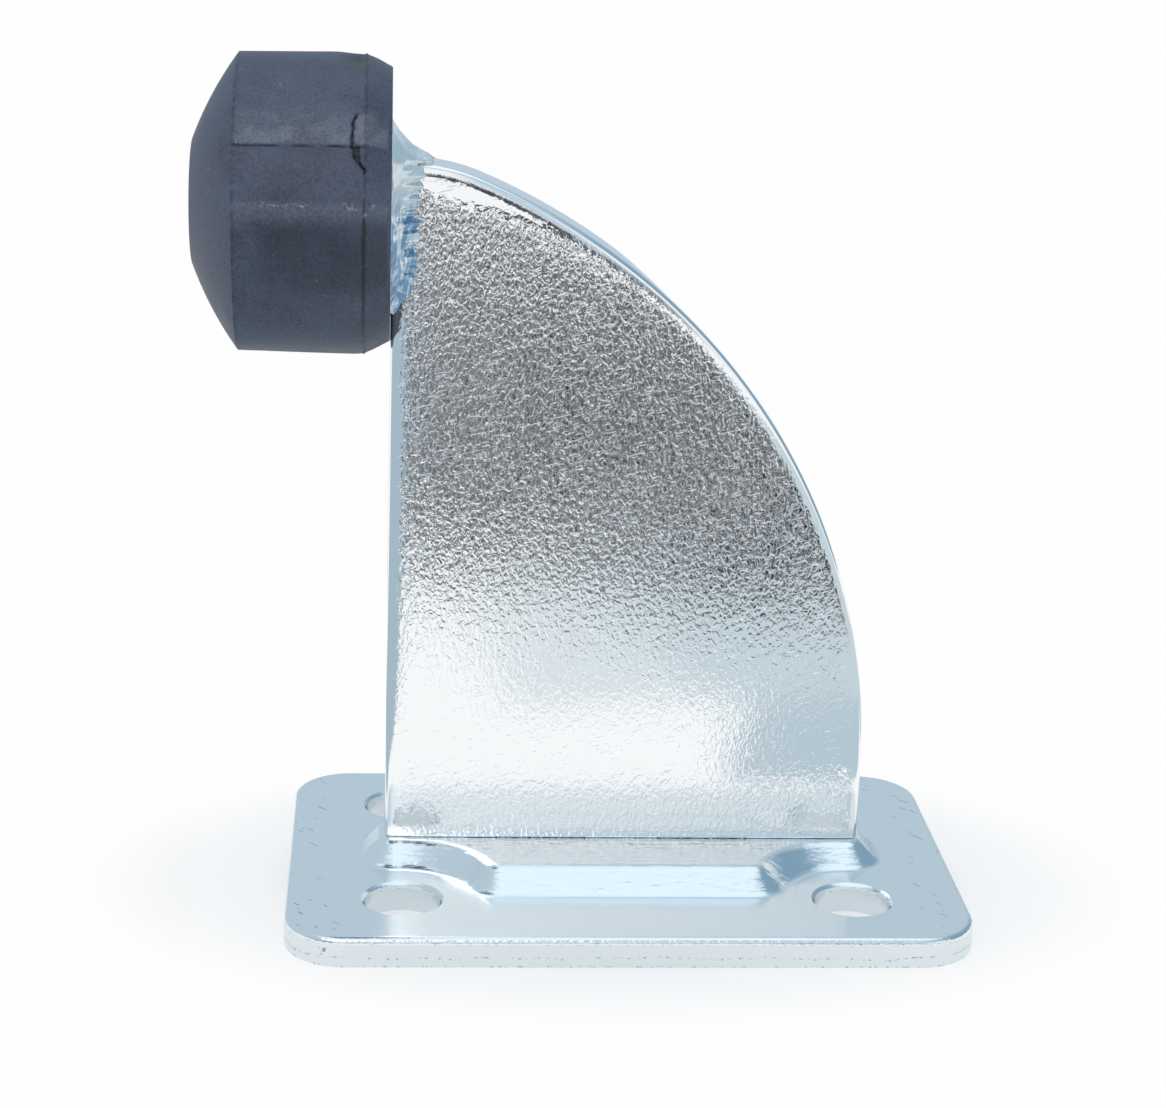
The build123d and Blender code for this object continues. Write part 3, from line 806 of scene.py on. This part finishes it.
# %% Weld bead
modifier = weld_path.modifiers.new("weld bead", "NODES")
modifier.node_group = bead
choices = {**bead_sizes, "Section": weld_section, "Material": zinc_weld}
for socket in bead.interface.items_tree:
    if socket.in_out == "INPUT" and socket.name in choices:
        modifier[socket.identifier] = choices[socket.name]
bpy.context.view_layer.update()
weld_mesh = bpy.data.meshes.new_from_object(weld_path.evaluated_get(bpy.context.evaluated_depsgraph_get()))
weld_mesh.name = "weld_bead"
for helper in (weld_path, weld_section):
    bpy.data.objects.remove(helper)
weld = bpy.data.objects.new("weld_bead", weld_mesh)
scene.collection.objects.link(weld)
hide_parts("disc_weld")
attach(weld, "root")
print("weld bead:", len(weld_mesh.polygons), "faces")

# %% [markdown]
# The buffer is black rubber from a steel mould: slate grey in daylight, with a dull sheen and a fine tooth,
# drawn coarser here than the real one, which would be too fine to show. It is rubbed paler along its scuffs
# and on the torn flap, and a band above the mould's joint is lightened as a painted sheen. It is freckled
# with specks of pale dust and dirty in the joint's groove. Painted shade darkens its lower side, the crack,
# the wedge and the nick, and dark lines run along the rear and nose edges. How rubbed and sheened, scuffed,
# and dirty and shaded each spot is comes from the mesh, where the marks themselves are shaped, and the
# pattern inside each patch comes from noise.

# %% Moulded rubber
TOOTH_SIZE, TOOTH_DEPTH = 0.35, 0.02
CLOUD_SIZE = 5
SPECK_SPACING, SPECK_SIZE = 3.2, 0.22
NOISE_LOW, NOISE_HIGH = 0.3, 0.7
MOTTLE_LOW, MOTTLE_HIGH = 0.65, 1.35
SPARK_LOW, SPARK_HIGH = 0.54, 0.62
RUBBED_AND_SHEEN_LEAST = 0.4
SHEEN_SMOOTH, SHEEN_ROUGH = 0.44, 0.58
SLATE_DARK, SLATE_PALE, RUBBED_AND_SHEEN_GREY, DUST, DIRT_AND_SHADE = "#373A49", "#5A6175", "#7C7F86", "#A39C97", "#16171B"

rubber, tree = new_material("moulded black rubber")
place = add(tree, "ShaderNodeTexCoord").outputs["Object"]
# The stored values also carry painted light: the rubbed one holds a painted sheen above the joint, and the
# dirty one holds painted shade on the lower side and in the crack, the wedge and the nick.
rubbed = add(tree, "ShaderNodeAttribute", attribute_name="rubbed").outputs["Fac"]
dirty = add(tree, "ShaderNodeAttribute", attribute_name="dirty").outputs["Fac"]
tooth = add(tree, "ShaderNodeTexNoise", {"Vector": place, "Scale": per_mm(TOOTH_SIZE), "Detail": 2.0})
cloud = add(tree, "ShaderNodeTexNoise", {"Vector": place, "Scale": per_mm(CLOUD_SIZE), "Detail": 3.0})
scuffed = add(tree, "ShaderNodeAttribute", attribute_name="scuffed").outputs["Fac"]
mottle = add(tree, "ShaderNodeMath", {0: tooth, 1: cloud}, operation="ADD")
mottle = add(tree, "ShaderNodeMapRange", {0: mottle, 1: MOTTLE_LOW, 2: MOTTLE_HIGH, 3: 0.0, 4: 1.0})
slate = add(tree, "ShaderNodeMix", {0: mottle, 6: linear(SLATE_DARK), 7: linear(SLATE_PALE)},
            data_type="RGBA")
patch = add(tree, "ShaderNodeMapRange", {0: tooth, 1: NOISE_LOW, 2: NOISE_HIGH, 3: RUBBED_AND_SHEEN_LEAST, 4: 1.0})
patch = add(tree, "ShaderNodeMath", {0: patch, 1: rubbed}, operation="MULTIPLY")
pale_patch = add(tree, "ShaderNodeMix", {0: patch, 6: slate.outputs[2], 7: linear(RUBBED_AND_SHEEN_GREY)}, data_type="RGBA")
spark = add(tree, "ShaderNodeMapRange", {0: tooth, 1: SPARK_LOW, 2: SPARK_HIGH, 3: 0.0, 4: 1.0})
spark = add(tree, "ShaderNodeMath", {0: spark, 1: scuffed}, operation="MULTIPLY")
speck = add(tree, "ShaderNodeTexVoronoi", {"Vector": place, "Scale": per_mm(SPECK_SPACING)})
speck = add(tree, "ShaderNodeMath", {0: speck.outputs["Distance"], 1: SPECK_SIZE / SPECK_SPACING / 2},
            operation="LESS_THAN")
speck = add(tree, "ShaderNodeMath", {0: speck, 1: spark}, operation="MAXIMUM")
dusty = add(tree, "ShaderNodeMix", {0: speck, 6: pale_patch.outputs[2], 7: linear(DUST)}, data_type="RGBA")
tint = add(tree, "ShaderNodeMix", {0: dirty, 6: dusty.outputs[2], 7: linear(DIRT_AND_SHADE)}, data_type="RGBA")
sheen = add(tree, "ShaderNodeMapRange", {0: cloud, 1: NOISE_LOW, 2: NOISE_HIGH, 3: SHEEN_SMOOTH,
                                         4: SHEEN_ROUGH})
bump = add(tree, "ShaderNodeBump", {"Height": tooth, "Distance": TOOTH_DEPTH * MM, "Strength": 1.0})
skin = add(tree, "ShaderNodeBsdfPrincipled", {"Base Color": tint.outputs[2], "Roughness": sheen,
                                              "Normal": bump})
add(tree, "ShaderNodeOutputMaterial", {"Surface": skin})
print("rubber tooth", TOOTH_SIZE, "mm")

# %% [markdown]
# The buffer is a body of revolution, so its shape is one profile: a flat nose, a crowned slope, sides with
# a little draft, a chamfered lip and the pocket that grips the disc. A function walks each straight or
# crowned stretch in even steps. The steps are finest round the rear edge, where the marks are. The lip is
# stretched a little towards the upright, as soft rubber is when it is pushed home.

# %% Rubber's profile
rubber_low, rubber_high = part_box("rubber_buffer")
disc_low, disc_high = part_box("buffer_disc")
nose_x, lip_x = rubber_low.x, rubber_high.x
buffer_z = (rubber_low.z + rubber_high.z) / 2
buffer_radius = (rubber_high.z - rubber_low.z) / 2
disc_radius = (disc_high.z - disc_low.z) / 2
NOSE_FLAT, NOSE_LENGTH, NOSE_CROWN = 7.95 * MM, 5.8 * MM, 0.42 * MM
FRONT_RADIUS = 18.7 * MM
LIP_LENGTH, LIP_DROP = 3.1 * MM, 1.8 * MM
DISC_BEVEL, MOUTH_GAP = 2.0 * MM, 0.2 * MM
LIP_STRETCH = 0.17 * MM


def walk(start, end, step, crown=0.0):
    start, run = Vector(start), Vector(end) - Vector(start)
    side = Vector((-run.y, run.x)).normalized()
    count = max(1, round(run.length / step))
    return [start + run * t + side * (4 * crown * t * (1 - t)) for t in [k / count for k in range(count)]]


rear_x = lip_x - LIP_LENGTH
nose_edge = (nose_x + NOSE_LENGTH, FRONT_RADIUS)
fine_start = (rear_x - 3 * MM, buffer_radius - 0.05 * MM)
rear_edge = (rear_x, buffer_radius)
lip_end = (lip_x + LIP_STRETCH, buffer_radius - LIP_DROP)
mouth = (lip_x + LIP_STRETCH, disc_radius - DISC_BEVEL + MOUTH_GAP)
pocket_rim = (disc_high.x - DISC_BEVEL, disc_radius)
pocket_floor = (disc_low.x, disc_radius)
stations = walk((nose_x, 0), (nose_x, NOSE_FLAT), 1.2 * MM)
stations += walk((nose_x, NOSE_FLAT), nose_edge, 0.4 * MM, NOSE_CROWN)
stations += walk(nose_edge, fine_start, 0.5 * MM) + walk(fine_start, rear_edge, 0.15 * MM)
stations += walk(rear_edge, lip_end, 0.2 * MM) + walk(lip_end, mouth, 0.5 * MM)
stations += walk(mouth, pocket_rim, 1 * MM) + walk(pocket_rim, pocket_floor, 1 * MM)
stations += walk(pocket_floor, (disc_low.x, 0), 4 * MM)
stations.append(Vector((disc_low.x, 0)))
print("rubber profile with", len(stations), "stations")

# %% [markdown]
# Real rubber carries its history. The mould's joint leaves a thin broken groove along the side, and a line of
# scuffs lies below it. The flash at the rear edge was torn away: a crack runs up beside the edge, with a
# missing wedge at its foot and a pale flap at its head, and a nick is missing at the top. Each mark is a
# short formula of the place along the buffer and the angle round it, counted from the near side upwards, in
# millimetres and degrees. The same formulas say where the rubber is rubbed and where a painted sheen lies on
# it, where it is scuffed, and where it is dirty and where painted shade darkens it.

# %% Rubber's marks
JOINT_ANGLE, JOINT_WIDTH, JOINT_DEPTH = 30.7, 0.12, 0.16
TEAR_LOW, TEAR_HIGH, TEAR_REACH, TEAR_DEPTH = 19.5, 45.5, 1.5, 0.5
TOP_NICK_ANGLE, TOP_NICK_DEPTH = 85.0, 0.8
SCUFF_ANGLE = 8.8
JOINT_SHEEN, SCUFF_BAND, SHADE_BAND = (0.1, 0.6, 1.0, 7.0), (-3.2, -0.2, 0, 0.7), (-32, -14, -1, 6)


def bell(value, width):
    return math.exp(-(value / width) ** 2)


def band(value, start, full, ease, end):
    return fade(value, start, full) * (1 - fade(value, ease, end))


def marks(x, radius, angle):
    if radius < FRONT_RADIUS - 2 * MM or x > lip_x - 0.3 * MM:
        return 0.0, 0.0, 0.0, 0.0
    behind = (x - rear_x) / MM
    per_degree = math.radians(1) * radius / MM
    here = Vector((x / MM, angle * per_degree, 0))
    slow, quick = noise.noise(here * 0.5), noise.noise(here * 1.3)
    on_side = fade(x, nose_edge[0] - 0.1 * MM, nose_edge[0] + 0.2 * MM)

    joint = (angle - JOINT_ANGLE) * per_degree
    groove = bell(joint - 0.1 * slow, JOINT_WIDTH) * fade(slow, -0.45, 0.15) * (1 - fade(behind, -0.6, 0.2))
    # The band above the joint is a painted sheen, not rubbing.
    above_joint = band(joint, *JOINT_SHEEN) * (0.5 + 0.5 * fade(slow, -0.35, 0.35))
    scuff = (angle - SCUFF_ANGLE) * per_degree - 0.25 * slow
    scuff_line = bell(scuff, 0.28) * fade(noise.noise(here * 0.6 + Vector((0, 0, 5))), -0.1, 0.3)
    scuff_band = band(scuff, *SCUFF_BAND)
    # Painted shade on the lower side of the buffer.
    shade = band(angle, *SHADE_BAND) * fade(behind, -15, -11)
    rear_line = bell(behind, 0.2) * fade(quick, -0.45, -0.05) * (1 - 0.55 * fade(angle, 3, 13))
    rear_line = rear_line * fade(angle, -110, -80)
    nose_line = bell((x - nose_edge[0]) / MM, 0.16) * fade(quick, -0.4, 0.2)
    rear_dots = bell(behind - 0.2, 0.16) * (1 - fade(angle, 5, 13)) * fade(noise.noise(here * 0.9), 0.0, 0.3)
    rear_hollow = (1 - bell(behind, 0.16) * fade(quick, -0.5, 0.2)) * bell(behind, 0.8)

    along = (angle - TEAR_LOW) / (TEAR_HIGH - TEAR_LOW)
    edge = -TEAR_REACH * fade(along, 0, 0.45) * (1 - 0.3 * fade(along, 0.7, 1)) + 0.35 * quick
    crack = bell(behind - edge, 0.17) * fade(along, 0, 0.08) * (1 - fade(along, 0.9, 1))
    wedge_end = 0.5 * quick
    wedge = band(behind, edge, edge + 0.15, wedge_end - 0.8, wedge_end - 0.5)
    wedge = wedge * fade(along, 0, 0.1) * (1 - fade(along, 0.38, 0.5))
    flap = band(behind, edge + 0.25, edge + 0.6, 0, 0.4) * fade(along, 0.5, 0.65)
    flap = flap * (1 - fade(along, 0.92, 1)) * (0.6 + 0.8 * noise.noise(here * 1.1 + Vector((3, 0, 7))))
    nick = bell(math.hypot((behind + 1.1) / 1.1, (angle - TOP_NICK_ANGLE) / 10), 1.0) ** 0.5

    depth = 0.05 * noise.noise(here * 0.12) - JOINT_DEPTH * groove - 0.12 * rear_hollow
    depth -= TEAR_DEPTH * max(crack, wedge) + 0.15 * flap + TOP_NICK_DEPTH * nick
    # Rubbing on the scuffs and the flap, and a painted sheen above the joint.
    rubbed = on_side * (0.95 * above_joint + 0.45 * scuff_band) + 1.5 * max(0, flap)
    scuffed = on_side * scuff_line + 0.8 * rear_dots
    # Dirt in the joint's groove, painted shade on the lower side and in the crack, the wedge and the nick,
    # and dark lines along the rear and nose edges.
    dirty = on_side * (0.9 * groove + 0.42 * shade) + 0.9 * rear_line + 0.75 * max(crack, wedge) + 0.9 * nick
    dirty += 0.5 * nose_line
    return min(0, depth) * MM, min(1, rubbed), min(1, scuffed), min(1, dirty)


print("marks at the joint:", [round(v, 5) for v in marks(rear_x - 5 * MM, buffer_radius, JOINT_ANGLE)])

# %% [markdown]
# The profile is turned round the buffer's axis. The angle steps are small over the tear, the joint, the
# scuffs and the nick, and larger elsewhere. At each point the marks push the skin in a little, never out,
# so the buffer keeps its size.

# %% Rubber's mesh
FINE_ANGLES = {(TEAR_LOW - 4, TEAR_HIGH + 4): 0.35, (75, 97): 0.6, (-2, TEAR_LOW - 4): 0.6}
COARSE_STEP = 1.5
angles = []
angle = -180.0
while angle < 180:
    angles.append(angle)
    angle += min([step for (low, high), step in FINE_ANGLES.items() if low < angle < high] + [COARSE_STEP])
points = []
wear = {"rubbed": [], "scuffed": [], "dirty": []}
for station in stations[1:-1]:
    for angle in angles:
        depth, *worn_here = marks(station.x, station.y, angle)
        turn = math.radians(angle)
        radius = station.y + depth
        points.append((station.x, -radius * math.cos(turn), buffer_z + radius * math.sin(turn)))
        for values, value in zip(wear.values(), worn_here):
            values.append(value)
loops, count = len(stations) - 2, len(angles)
points += [(nose_x, 0, buffer_z), (disc_low.x, 0, buffer_z)]
faces = []
for i in range(count):
    j = (i + 1) % count
    for k in range(loops - 1):
        faces.append((k * count + i, k * count + j, (k + 1) * count + j, (k + 1) * count + i))
    faces.append((loops * count, j, i))
    faces.append((loops * count + 1, (loops - 1) * count + i, (loops - 1) * count + j))
buffer = make_piece("rubber_moulding", points, faces, rubber, sharp_degrees=28)
for name, values in wear.items():
    store(buffer, name, values + [0.0, 0.0])
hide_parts("rubber_buffer")
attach(buffer, "root")
print("rubber:", len(faces), "faces")
